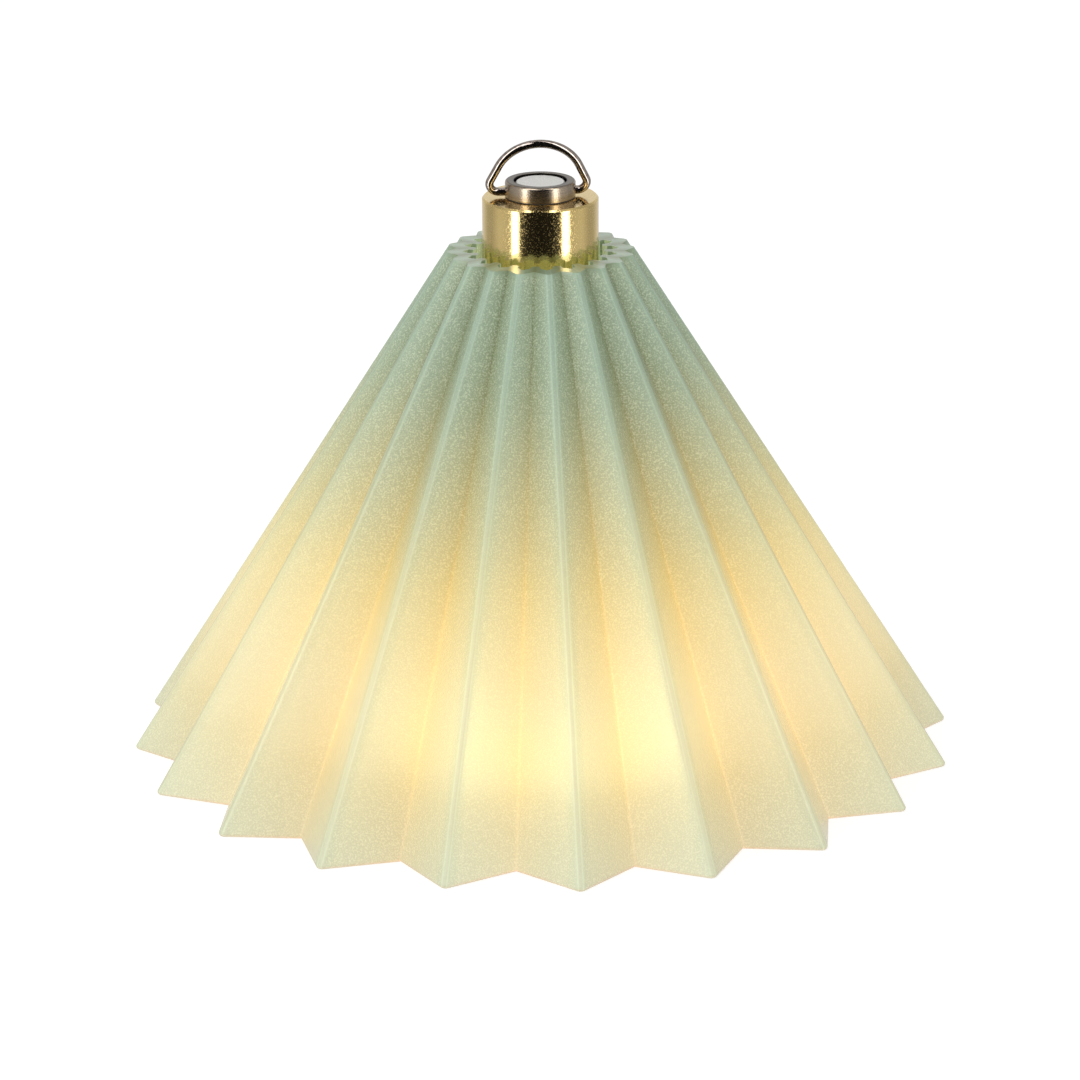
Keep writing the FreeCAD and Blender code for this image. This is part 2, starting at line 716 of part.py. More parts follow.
def make_battery_cell():
    """Wrapped cell with a crimp near its raised end, which points down at the driver."""
    crimp_floor = f"{CELL_FLOOR} + 2 * crimp_width"
    points = [
        ("0", CELL_FLOOR),
        (f"{CELL_RADIUS} - cell_round", CELL_FLOOR),
        (CELL_RADIUS, f"{CELL_FLOOR} + cell_round"),
        (CELL_RADIUS, crimp_floor),
        (f"{CELL_RADIUS} - crimp_depth", f"{crimp_floor} + crimp_width / 2"),
        (CELL_RADIUS, f"{crimp_floor} + crimp_width"),
        (CELL_RADIUS, f"{CELL_TOP} - cell_round"),
        (f"{CELL_RADIUS} - cell_round", CELL_TOP),
        ("0", CELL_TOP),
    ]
    keep(turned("battery_cell", points), "battery_cell")
    keep(turned_ring("cell_terminal", "0", "terminal_radius", CONTACT_TOP, CELL_FLOOR), "cell_terminal")


def make_seals():
    """Flat seals under the bezel, between cap and tube, tube and head, and head and globe."""
    neck = f"{BEZEL_NECK} + thread_fit"
    foot = f"{BEZEL_RADIUS} - bezel_break"
    keep(turned_ring("bezel_seal", neck, foot, CAP_TOP, BEZEL_FLOOR), "bezel_seal")
    for name, inner, outer, floor in (
        ("tube_seal", THREAD_BORE, "cap_radius", TUBE_SHOULDER),
        ("head_seal", TUBE_BORE, "cap_radius", FLANGE_TOP),
        ("globe_seal", GLOBE_BORE, GLOBE_RADIUS, "globe_height"),
    ):
        keep(turned_ring(name, inner, outer, floor, f"{floor} + seal_thickness"), name)


# Head, light board and globe

def make_head():
    """Aluminium head: spigot with the driver's pit, finned flange, nose that carries the light board."""
    fin = "cap_radius - fin_depth"
    points = [
        ("0", NOSE_FLOOR),
        (NOSE_RADIUS, NOSE_FLOOR),
        (NOSE_RADIUS, HEAD_FLOOR),
        ("cap_radius", HEAD_FLOOR),
    ]
    for number in range(int(size("fin_groove_count"))):
        middle = f"{HEAD_FLOOR} + flange_height * ({number} + 1) / (fin_groove_count + 1)"
        points.append(("cap_radius", f"{middle} - fin_groove / 2"))
        points.append((fin, f"{middle} - fin_groove / 2"))
        points.append((fin, f"{middle} + fin_groove / 2"))
        points.append(("cap_radius", f"{middle} + fin_groove / 2"))
    points += [
        ("cap_radius", FLANGE_TOP),
        (SPIGOT_RADIUS, FLANGE_TOP),
        (SPIGOT_RADIUS, SPIGOT_TOP),
        (DRIVER_RADIUS, SPIGOT_TOP),
        (DRIVER_RADIUS, DRIVER_FLOOR),
        (PIT_RADIUS, DRIVER_FLOOR),
        (PIT_RADIUS, f"{DRIVER_FLOOR} - driver_pit"),
        ("0", f"{DRIVER_FLOOR} - driver_pit"),
    ]
    blank = turned("head_blank", points)

    pad = turned_ring("pad_blank", "0", LED_BOARD_RADIUS, LED_BOARD_TOP, NOSE_FLOOR)
    board = turned_ring("led_board_blank", "0", LED_BOARD_RADIUS, LED_BOARD_FLOOR, LED_BOARD_TOP)
    drills = []
    rise = f"({DRIVER_FLOOR} - {LED_BOARD_FLOOR})"
    below = f"{LED_BOARD_FLOOR} - cut_overrun"
    for number, side in enumerate(SIDES):
        lead = cylinder(
            f"lead_hole_{number}",
            "lead_radius + lead_fit",
            f"{rise} + cut_overrun",
            x=f"{side}{LEAD_OFFSET}",
            z=below,
        )
        screw = cylinder(
            f"screw_hole_{number}",
            "screw_radius + screw_fit",
            "screw_length + screw_fit + cut_overrun",
            y=f"{side}{SCREW_OFFSET}",
            z=below,
        )
        drills += [lead, screw]
    for name, base in (("head", blank), ("thermal_pad", pad), ("led_board", board)):
        keep(cut(name, base, group(f"{name}_holes", drills)), name)


def make_light():
    """Leads, screws and light chips on the board."""
    rise = f"({DRIVER_FLOOR} - {LED_BOARD_FLOOR})"
    leads = []
    screws = []
    for number, side in enumerate(SIDES):
        place_x = f"{side}{LEAD_OFFSET}"
        leads.append(cylinder(f"lead_{number}", "lead_radius", rise, x=place_x, z=LED_BOARD_FLOOR))
        head_floor = f"{LED_BOARD_FLOOR} - screw_head_height"
        points = [
            ("0", head_floor),
            ("screw_head_radius", head_floor),
            ("screw_head_radius", LED_BOARD_FLOOR),
            ("screw_radius", LED_BOARD_FLOOR),
            ("screw_radius", f"{LED_BOARD_FLOOR} + screw_length"),
            ("0", f"{LED_BOARD_FLOOR} + screw_length"),
        ]
        screws.append(place(turned(f"screw_{number}", points), y=f"{side}{SCREW_OFFSET}"))
    keep(group("led_leads", leads), "led_leads")
    keep(group("led_screws", screws), "led_screws")

    emitters = []
    floor = f"{LED_BOARD_FLOOR} - emitter_height"
    for number in range(int(size("emitter_count"))):
        turn = f"(360 / emitter_count * ({number} + 1 / 2))"
        chip = block(
            f"emitter_{number}",
            "emitter_side",
            "emitter_side",
            "emitter_height",
            x=f"emitter_circle_radius * cos{turn}",
            y=f"emitter_circle_radius * sin{turn}",
            z=floor,
        )
        emitters.append(chip)
    keep(group("led_emitters", emitters), "led_emitters")


def make_driver():
    """Driver board with its contact post above and its coil and chip below."""
    keep(turned_ring("driver_board", "0", DRIVER_RADIUS, DRIVER_FLOOR, SPIGOT_TOP), "driver_board")
    keep(turned_ring("positive_contact", "0", "contact_radius", SPIGOT_TOP, CONTACT_TOP), "positive_contact")
    coil = cylinder(
        "coil", "coil_radius", "coil_height", y=DRIVER_PART_OFFSET, z=f"{DRIVER_FLOOR} - coil_height"
    )
    chip = block(
        "chip",
        "chip_side",
        "chip_side",
        "chip_height",
        y=f"-{DRIVER_PART_OFFSET}",
        z=f"{DRIVER_FLOOR} - chip_height",
    )
    keep(group("driver_parts", [coil, chip]), "driver_parts")


def make_globe():
    """Frosted cup with a rounded foot."""
    points = [
        ("0", "0"),
        (GLOBE_RADIUS, "0"),
        (GLOBE_RADIUS, "globe_height"),
        (GLOBE_BORE, "globe_height"),
        (GLOBE_BORE, "globe_wall"),
        ("0", "globe_wall"),
    ]
    body = turned("globe", points)
    rounded(body, lambda edge: is_circle_at(edge, "0", GLOBE_RADIUS), "globe_round")
    rounded(body, lambda edge: is_circle_at(edge, "globe_wall", GLOBE_BORE), "globe_round - globe_wall")
    keep(body, "globe")


def check():
    """Stops if an object failed or a sub-part has no sound shape."""
    for thing in doc.Objects:
        if {"Invalid", "Error"} & set(thing.State):
            raise RuntimeError(f"{thing.Label} failed: {thing.State}")
    for part in sub_parts:
        if part.Shape.isNull() or not part.Shape.isValid() or not part.Shape.Solids:
            raise RuntimeError(f"{part.Label} has no sound solid")


make_shade()
make_shade_collar()
make_collar_clip()
make_tail_cap()
make_bezel()
make_button()
make_hanging_ring()
make_switch()
make_cell_spring()
make_battery_tube()
make_battery_cell()
make_seals()
make_head()
make_light()
make_driver()
make_globe()
doc.recompute()
check()

os.makedirs("parts", exist_ok=True)
for part in sub_parts:
    part.Shape.exportStep(os.path.join("parts", f"{part.Label}.step"))
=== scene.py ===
import math

import bpy
from bpy.props import FloatProperty, FloatVectorProperty, IntProperty, PointerProperty
from mathutils import Matrix, Vector


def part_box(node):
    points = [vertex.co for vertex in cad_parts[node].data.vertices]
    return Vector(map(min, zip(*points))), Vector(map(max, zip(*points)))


bl_info = {
    "name": "Pleated Table Lamp",
    "version": (1, 0, 0),
    "blender": (4, 5, 0),
    "location": "View3D > Sidebar > Lamp",
    "description": "Finishes the pieces of a pleated table lamp and sets it on a pale studio floor",
    "category": "Object",
}

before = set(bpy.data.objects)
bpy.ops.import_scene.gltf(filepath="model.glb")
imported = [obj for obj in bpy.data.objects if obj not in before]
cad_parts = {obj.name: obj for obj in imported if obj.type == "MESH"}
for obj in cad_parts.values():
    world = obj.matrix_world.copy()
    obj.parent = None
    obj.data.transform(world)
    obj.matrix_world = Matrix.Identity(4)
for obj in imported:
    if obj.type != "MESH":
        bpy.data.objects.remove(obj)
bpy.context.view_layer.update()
MM = 0.001
WHITE = (1, 1, 1, 1)
# A vector times this loses its height
FLATTEN = (1, 1, 0)
# Width of the camera's sensor in millimetres, and how near to the camera things are still drawn
SENSOR_WIDTH = 36.0
NEAR_CLIP = 10 * MM


# Marks on the shade: heights as shares of its own height, widths as lengths round the axis

CUT_EDGE = (0.0045, 0.007)
TOP_RING = (0.990, 0.998)
RIDGE_BAND = (0.5 * MM, 2.2 * MM)
RIDGE_REACH = 2.5 * MM
CREST = (0.4 * MM, 1.0 * MM)
VALLEY_LINE = (0.1 * MM, 0.35 * MM)
BODY_RELIEF = 0.02 * MM
COAT_RELIEF = 0.2 * MM


# Levels by place, as pairs of place and level

# Lamp light by height: most a little above the lamp, none at the neck
LIGHT_BY_HEIGHT = (
    (0.0, 0.475), (0.046, 0.50), (0.116, 0.567), (0.21, 0.688), (0.314, 0.673), (0.418, 0.57),
    (0.557, 0.328), (0.697, 0.138), (0.80, 0.037), (0.90, 0.0), (1.0, 0.0))
# Painted glint of the grain by height, a highlight painted into the base colour: weak where lamp
# light comes through, none on the polished top ring
PAINTED_GLINT_BY_HEIGHT = (
    (0.0, 0.4), (0.1, 0.36), (0.2, 0.2), (0.35, 0.28), (0.6, 0.6), (0.99, 0.7), (0.998, 0.0))
# Painted highlight from the middle of a ridge outward: a little on the smooth flat crest, a pale
# painted highlight line beside it, then the face
PAINTED_HIGHLIGHT_BY_RIDGE = (
    (0.0, 1.05), (0.09, 1.05), (0.16, 1.32), (0.23, 1.10), (0.5, 1.04), (1.0, 1.0))
# What the metals mirror, from the camera's side round to the back: dark, a bright strip, dim walls
MIRROR_BY_TURN = (
    (0.0, 0.002), (0.14, 0.003), (0.19, 0.010), (0.235, 0.03), (0.25, 1.0), (0.32, 1.0),
    (0.335, 0.10), (0.39, 0.12), (0.5, 0.13), (0.62, 0.085), (0.72, 0.09), (0.8, 0.13), (1.0, 0.16))


# Helpers

def linear(hex_colour):
    """An sRGB hex colour as linear red, green and blue."""
    shares = [int(hex_colour[place:place + 2], 16) / 255 for place in (1, 3, 5)]
    return [s / 12.92 if s <= 0.04045 else ((s + 0.055) / 1.055) ** 2.4 for s in shares]


def rgba(colour):
    """A linear colour with full alpha."""
    return (*colour, 1.0)


def add(tree, kind, inputs=None, **settings):
    """Adds a shader node with its settings, and fills or links its inputs.

    A node given as an input stands for its first output. Inputs that share a name go by number:
    a mix of colours has its share at 0, its colours at 6 and 7, and its result at output 2.
    """
    made = tree.nodes.new(kind)
    for name, setting in settings.items():
        setattr(made, name, setting)
    for key, source in (inputs or {}).items():
        if isinstance(source, bpy.types.Node):
            source = source.outputs[0]
        if isinstance(source, bpy.types.NodeSocket):
            tree.links.new(source, made.inputs[key])
        else:
            made.inputs[key].default_value = source
    return made


def start_material(name):
    """An empty node material and its tree."""
    material = bpy.data.materials.new(name)
    material.use_nodes = True
    material.node_tree.nodes.clear()
    return material, material.node_tree


def end_material(tree, surface):
    """Joins a shader to the material's output."""
    add(tree, "ShaderNodeOutputMaterial", {"Surface": surface})


def set_stops(ramp, stops):
    """Gives a colour ramp its stops, as pairs of position and linear colour."""
    elements = ramp.color_ramp.elements
    while len(elements) > 1:
        elements.remove(elements[-1])
    elements[0].position = stops[0][0]
    elements[0].color = rgba(stops[0][1])
    for position, colour in stops[1:]:
        elements.new(position).color = rgba(colour)


def set_levels(ramp, levels):
    """Gives a colour ramp grey stops, as pairs of position and level."""
    set_stops(ramp, [(position, (level, level, level)) for position, level in levels])


def facing(place, aim):
    """The matrix of a camera or light that stands at a place and looks at an aim."""
    turn = (place - aim).to_track_quat("Z", "Y")
    return Matrix.Translation(place) @ turn.to_matrix().to_4x4()


def finish_nodes(material, *names):
    """Puts a material on CAD nodes."""
    for name in names:
        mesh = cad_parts[name].data
        mesh.materials.clear()
        mesh.materials.append(material)


# Settings

class LampShadeSettings(bpy.types.PropertyGroup):
    """Sizes, colours and light of the pleated shade"""
    pleat_count: IntProperty(
        name="Pleats", description="Ridges round the shade", default=20, min=3)
    height: FloatProperty(
        name="Height", description="Height of the shade", default=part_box("shade")[1].z,
        unit="LENGTH", precision=4)
    grain: FloatProperty(
        name="Grain", description="Width of one grain of the moulded surface",
        default=0.24 * MM, unit="LENGTH", precision=5)
    ridge: FloatVectorProperty(
        name="Ridge", description="Colour of the unlit plastic along the ridges",
        default=linear("#9DB59F"), subtype="COLOR", min=0, max=1)
    # Darker than the ridge colour: painted shade in the folds of the valleys, over the plastic's
    # own colour
    valley: FloatVectorProperty(
        name="Valley", description="Colour of the unlit plastic in the valleys",
        default=linear("#86956D"), subtype="COLOR", min=0, max=1)
    # Painted glint: highlight colour painted into the base colour on the grain's specks
    painted_glint: FloatVectorProperty(
        name="Glint", description="Colour of the light that the grain catches",
        default=linear("#ABAA9B"), subtype="COLOR", min=0, max=1)
    edge_light: FloatVectorProperty(
        name="Edge light", description="Lamp light that comes out of the cut edge of the rim",
        default=linear("#FFC8A8"), subtype="COLOR", min=0, max=1)
    rim_light: FloatVectorProperty(
        name="Rim light", description="Lamp light that comes through the wall at the rim",
        default=linear("#FFDCB7"), subtype="COLOR", min=0, max=1)
    near_light: FloatVectorProperty(
        name="Near light", description="Lamp light that comes through the wall next to the lamp",
        default=linear("#FFCE92"), subtype="COLOR", min=0, max=1)
    far_light: FloatVectorProperty(
        name="Far light", description="Lamp light after a long way through the wall",
        default=linear("#FFC66B"), subtype="COLOR", min=0, max=1)
    neck_light: FloatVectorProperty(
        name="Neck light", description="Light that the milky wall passes on to its inner side",
        default=linear("#7E8568"), subtype="COLOR", min=0, max=1)


class LampLanternSettings(bpy.types.PropertyGroup):
    """Colours and grains of the lantern's metals and globe"""
    brass: FloatVectorProperty(
        name="Brass", description="Colour of the polished brass",
        default=linear("#F4DA98"), subtype="COLOR", min=0, max=1)
    brass_dull: FloatVectorProperty(
        name="Dull brass", description="Colour of the brass where it is a little tarnished",
        default=linear("#E9CB84"), subtype="COLOR", min=0, max=1)
    brass_pits: FloatProperty(
        name="Brass pits", description="Width of one pit of the polish",
        default=0.22 * MM, unit="LENGTH", precision=5)
    brass_clouds: FloatProperty(
        name="Brass clouds", description="Width of one cloud of tarnish",
        default=5 * MM, unit="LENGTH", precision=4)
    collar: FloatVectorProperty(
        name="Collar steel", description="Colour of the turned steel collar",
        default=linear("#AD9F8D"), subtype="COLOR", min=0, max=1)
    collar_rings: FloatProperty(
        name="Collar rings", description="Width of one ring that the tool leaves on the collar",
        default=0.22 * MM, unit="LENGTH", precision=5)
    collar_grit: FloatProperty(
        name="Collar grit", description="Width of one speck on the collar",
        default=0.25 * MM, unit="LENGTH", precision=5)
    collar_bore: FloatProperty(
        name="Collar bore", description="Radius up to which the bore of the collar is darkest",
        default=4.42 * MM, unit="LENGTH", precision=5)
    collar_mouth: FloatProperty(
        name="Collar mouth", description="Radius at which the dark of the bore ends",
        default=4.56 * MM, unit="LENGTH", precision=5)
    globe: FloatVectorProperty(
        name="Globe", description="Colour of the unlit globe",
        default=linear("#B4AFA4"), subtype="COLOR", min=0, max=1)
    globe_light: FloatVectorProperty(
        name="Globe light", description="Light that the frosted globe gives",
        default=linear("#FFDFA6"), subtype="COLOR", min=0, max=1)
    globe_grain: FloatProperty(
        name="Globe grain", description="Width of one grain of the frosted globe",
        default=0.35 * MM, unit="LENGTH", precision=5)


class LampStageSettings(bpy.types.PropertyGroup):
    """Camera, floor and lights of the studio"""
    camera_azimuth: FloatProperty(
        name="Camera azimuth", description="Camera direction about the lamp, from the front",
        default=math.radians(-4.89), subtype="ANGLE")
    camera_elevation: FloatProperty(
        name="Camera elevation", description="Camera height as an angle",
        default=math.radians(18.873), subtype="ANGLE")
    camera_roll: FloatProperty(
        name="Camera roll", description="Turn of the camera about its own axis",
        default=math.radians(-0.27), subtype="ANGLE")
    camera_distance: FloatProperty(
        name="Camera distance", description="Camera distance from its aim",
        default=0.8130, unit="LENGTH")
    camera_aim: FloatProperty(
        name="Camera aim", description="Height that the camera aims at",
        default=0.03520, unit="LENGTH")
    camera_lens: FloatProperty(
        name="Lens", description="Focal length in millimetres on a 36 mm sensor",
        default=160.23, unit="CAMERA")
    camera_shift: FloatProperty(
        name="Camera shift", description="Sideways shift as a share of the picture's width",
        default=-0.00179, precision=5)
    floor: FloatVectorProperty(
        name="Floor", description="Colour of the floor as it lights the lamp",
        default=linear("#F4F4F2"), subtype="COLOR", min=0, max=1)
    floor_seen: FloatVectorProperty(
        name="Floor in view", description="Colour of the floor as it takes shadows in view",
        default=linear("#ADADAD"), subtype="COLOR", min=0, max=1)
    floor_glow: FloatProperty(
        name="Floor glow", description="White that lifts the floor in view to the backdrop",
        default=0.69, min=0)
    floor_size: FloatProperty(
        name="Floor size", description="Width of the floor", default=8.0, unit="LENGTH")
    soft_left: FloatProperty(
        name="Soft light, left", description="Strength of the soft light from the left",
        default=1.06, min=0)
    soft_right: FloatProperty(
        name="Soft light, right", description="Strength of the soft light from the right",
        default=0.52, min=0)
    mirror_strength: FloatProperty(
        name="Mirror strength", description="Strength of the surroundings that the metals mirror",
        default=5.0, min=0)
    softbox_place: FloatVectorProperty(
        name="Softbox place", description="Middle of the softbox",
        default=(-0.32, -0.62, 0.78), subtype="TRANSLATION", unit="LENGTH")
    softbox_aim: FloatProperty(
        name="Softbox aim", description="Height that the softbox aims at",
        default=0.04, unit="LENGTH")
    softbox_size: FloatProperty(
        name="Softbox size", description="Width of the softbox", default=0.34, unit="LENGTH")
    softbox_power: FloatProperty(
        name="Softbox power", description="Power of the softbox", default=1.7, unit="POWER")
    pool_size: FloatProperty(
        name="Pool size", description="Width of the pool of light round the globe",
        default=0.056, unit="LENGTH")
    pool_height: FloatProperty(
        name="Pool height", description="Height of the pool of light above the floor",
        default=0.4 * MM, unit="LENGTH", precision=5)
    pool_power: FloatProperty(
        name="Pool power", description="Power of the pool of light", default=0.2, unit="POWER")


# Materials

def frosted_polypropylene(settings):
    """Moulded frosted polypropylene: a milky wall with a fine spark-eroded grain, lit from inside.

    The eye sees pale sage where little light comes through, gold and cream near the lamp,
    a dimmer band along each thick ridge and a bright line in each thin valley.
    """
    material, tree = start_material("frosted_polypropylene")
    place = add(tree, "ShaderNodeTexCoord").outputs["Object"]
    parts = add(tree, "ShaderNodeSeparateXYZ", {0: place})
    share = add(tree, "ShaderNodeMath", {
        0: parts.outputs["Z"], 1: settings.height}, operation="DIVIDE")

    # Way across a pleat, 0 on the ridge and 1 in the valley, and the way round the axis from each
    half_pleat = math.pi / settings.pleat_count
    front = add(tree, "ShaderNodeMath", {0: parts.outputs["Y"], 1: -1.0}, operation="MULTIPLY")
    turn = add(tree, "ShaderNodeMath", {0: parts.outputs["X"], 1: front}, operation="ARCTAN2")
    from_ridge = add(tree, "ShaderNodeMath", {0: turn, 1: half_pleat}, operation="PINGPONG")
    pleat = add(tree, "ShaderNodeMath", {0: from_ridge, 1: half_pleat}, operation="DIVIDE")
    flat = add(tree, "ShaderNodeVectorMath", {0: place, 1: FLATTEN}, operation="MULTIPLY")
    radius = add(tree, "ShaderNodeVectorMath", {0: flat}, operation="LENGTH").outputs["Value"]
    off_ridge = add(tree, "ShaderNodeMath", {0: from_ridge, 1: radius}, operation="MULTIPLY")
    to_valley = add(tree, "ShaderNodeMath", {0: half_pleat, 1: from_ridge}, operation="SUBTRACT")
    off_valley = add(tree, "ShaderNodeMath", {0: to_valley, 1: radius}, operation="MULTIPLY")

    # Lamp light that the milky wall spreads
    reach = add(tree, "ShaderNodeFloatCurve", {"Value": share})
    points = reach.mapping.curves[0].points
    points[0].location = LIGHT_BY_HEIGHT[0]
    points[1].location = LIGHT_BY_HEIGHT[-1]
    for point in LIGHT_BY_HEIGHT[1:-1]:
        points.new(*point)
    reach.mapping.update()

    # A valley lies nearer to the lamp than a ridge, which counts for less the higher it is
    nearness = add(tree, "ShaderNodeMath", {0: pleat, 1: 2.0}, operation="POWER")
    on_ridge = add(tree, "ShaderNodeMapRange", {
        "Value": share, "From Min": 0.26, "From Max": 0.55, "To Min": 0.74, "To Max": 0.84})
    across = add(tree, "ShaderNodeMapRange", {
        "Value": nearness, "To Min": on_ridge, "To Max": 1.0})

    # Less light along the thick ridge, more in the thin valley and out of the cut edge
    band = add(tree, "ShaderNodeMapRange", {
        "Value": off_ridge, "From Min": RIDGE_BAND[0], "From Max": RIDGE_BAND[1],
        "To Min": 0.8, "To Max": 1.0}, interpolation_type="SMOOTHSTEP")
    line = add(tree, "ShaderNodeMapRange", {
        "Value": off_valley, "From Min": VALLEY_LINE[0], "From Max": VALLEY_LINE[1],
        "To Min": 1.12, "To Max": 1.0}, interpolation_type="SMOOTHSTEP")
    edge = add(tree, "ShaderNodeMapRange", {
        "Value": share, "From Min": CUT_EDGE[0], "From Max": CUT_EDGE[1],
        "To Min": 1.2, "To Max": 1.0})
    amount = reach
    for factor in (across, band, line, edge):
        amount = add(tree, "ShaderNodeMath", {0: amount, 1: factor}, operation="MULTIPLY")
    warmth = add(tree, "ShaderNodeValToRGB", {0: share})
    set_stops(warmth, (
        (0.0, settings.edge_light), (CUT_EDGE[0], settings.edge_light),
        (CUT_EDGE[1], settings.rim_light), (0.13, settings.near_light),
        (0.27, settings.near_light), (0.47, settings.far_light)))
    through = add(tree, "ShaderNodeVectorMath", {0: warmth, "Scale": amount}, operation="SCALE")

    # Light on the inner side of the wall, where a face looks at the axis
    normal = add(tree, "ShaderNodeNewGeometry").outputs["True Normal"]
    outward = add(tree, "ShaderNodeVectorMath", {0: normal, 1: flat}, operation="DOT_PRODUCT")
    inside = add(tree, "ShaderNodeMath", {
        0: outward.outputs["Value"], 1: 0.0}, operation="LESS_THAN")
    milky = add(tree, "ShaderNodeVectorMath", {
        0: settings.neck_light, "Scale": inside}, operation="SCALE")
    light = add(tree, "ShaderNodeVectorMath", {0: through, 1: milky}, operation="ADD")

    # Grain of the mould as relief, left off the flat polished ring at the top, and a painted glint
    # on its specks, weak on the crests
    grain = add(tree, "ShaderNodeTexNoise", {
        "Vector": place, "Scale": 1 / settings.grain, "Detail": 1.0}).outputs["Fac"]
    below_top = add(tree, "ShaderNodeMapRange", {
        "Value": share, "From Min": TOP_RING[0], "From Max": TOP_RING[1],
        "To Min": 1.0, "To Max": 0.0})
    body_relief, coat_relief = (add(tree, "ShaderNodeBump", {
        "Height": grain, "Strength": below_top, "Distance": depth})
        for depth in (BODY_RELIEF, COAT_RELIEF))
    speck = add(tree, "ShaderNodeMapRange", {"Value": grain, "From Min": 0.46, "From Max": 0.68})
    painted_glint_level = add(tree, "ShaderNodeValToRGB", {0: share})
    set_levels(painted_glint_level, PAINTED_GLINT_BY_HEIGHT)
    off_crest = add(tree, "ShaderNodeMapRange", {
        "Value": off_ridge, "From Min": CREST[0], "From Max": CREST[1],
        "To Min": 0.3, "To Max": 1.0})
    for factor in (painted_glint_level, off_crest):
        speck = add(tree, "ShaderNodeMath", {0: speck, 1: factor}, operation="MULTIPLY")
    painted_glint = add(tree, "ShaderNodeVectorMath", {
        0: settings.painted_glint, "Scale": speck}, operation="SCALE")

    # Painted highlights as pale lines beside each crest, and above the lamp light painted shade as
    # a dark line in the fold of each valley
    ridge_place = add(tree, "ShaderNodeMath", {0: off_ridge, 1: RIDGE_REACH}, operation="DIVIDE")
    crest_highlight = add(tree, "ShaderNodeValToRGB", {0: ridge_place})
    set_levels(crest_highlight, PAINTED_HIGHLIGHT_BY_RIDGE)
    # Painted shade: the fold of each valley is darkened above the lamp light
    fold_shade_level = add(tree, "ShaderNodeMapRange", {
        "Value": share, "From Min": 0.35, "From Max": 0.8, "To Min": 1.0, "To Max": 0.9})
    fold_shade = add(tree, "ShaderNodeMapRange", {
        "Value": off_valley, "From Min": VALLEY_LINE[0], "From Max": VALLEY_LINE[1],
        "To Min": fold_shade_level, "To Max": 1.0})
    painted_highlight_and_shade = add(tree, "ShaderNodeMath", {0: crest_highlight, 1: fold_shade}, operation="MULTIPLY")
    # Painted shade: the base colour darkens from ridge to valley
    plastic_and_valley_shade = add(tree, "ShaderNodeMix", {
        0: pleat, 6: rgba(settings.ridge), 7: rgba(settings.valley)}, data_type="RGBA")
    body = add(tree, "ShaderNodeVectorMath", {
        0: plastic_and_valley_shade.outputs[2], "Scale": painted_highlight_and_shade}, operation="SCALE")
    colour = add(tree, "ShaderNodeVectorMath", {0: body, 1: painted_glint}, operation="ADD")
    surface = add(tree, "ShaderNodeBsdfPrincipled", {
        "Base Color": colour,
        "Roughness": 0.45,
        "IOR": 1.49,
        "Transmission Weight": 0.22,
        "Coat Weight": 1.0,
        "Coat Roughness": 0.2,
        "Coat IOR": 1.49,
        "Normal": body_relief,
        "Coat Normal": coat_relief,
        "Emission Color": light,
        "Emission Strength": 1.0,
    })
    end_material(tree, surface)
    return material


def polished_brass(settings):
    """Turned and polished brass: a warm mirror in which bright strips end in specks.

    The specks are pits of the polish, rougher and a little paler than the mirror round them,
    and drawn a few times too coarse so that they show.
    """
    material, tree = start_material("polished_brass")
    place = add(tree, "ShaderNodeTexCoord").outputs["Object"]
    grit = add(tree, "ShaderNodeTexNoise", {
        "Vector": place, "Scale": 1 / settings.brass_pits, "Detail": 1.0}).outputs["Fac"]
    relief = add(tree, "ShaderNodeBump", {"Height": grit, "Distance": 0.006 * MM})
    pit = add(tree, "ShaderNodeMapRange", {"Value": grit, "From Min": 0.5, "From Max": 0.7})
    roughness = add(tree, "ShaderNodeMapRange", {"Value": pit, "To Min": 0.09, "To Max": 0.34})
    paleness = add(tree, "ShaderNodeMapRange", {"Value": pit, "To Min": 0.93, "To Max": 1.0})
    tarnish = add(tree, "ShaderNodeTexNoise", {
        "Vector": place, "Scale": 1 / settings.brass_clouds, "Detail": 3.0}).outputs["Fac"]
    metal = add(tree, "ShaderNodeMix", {
        0: tarnish, 6: rgba(settings.brass), 7: rgba(settings.brass_dull)}, data_type="RGBA")
    colour = add(tree, "ShaderNodeVectorMath", {
        0: metal.outputs[2], "Scale": paleness}, operation="SCALE")
    surface = add(tree, "ShaderNodeBsdfPrincipled", {
        "Base Color": colour,
        "Metallic": 1.0,
        "Roughness": roughness,
        "Normal": relief,
    })
    end_material(tree, surface)
    return material


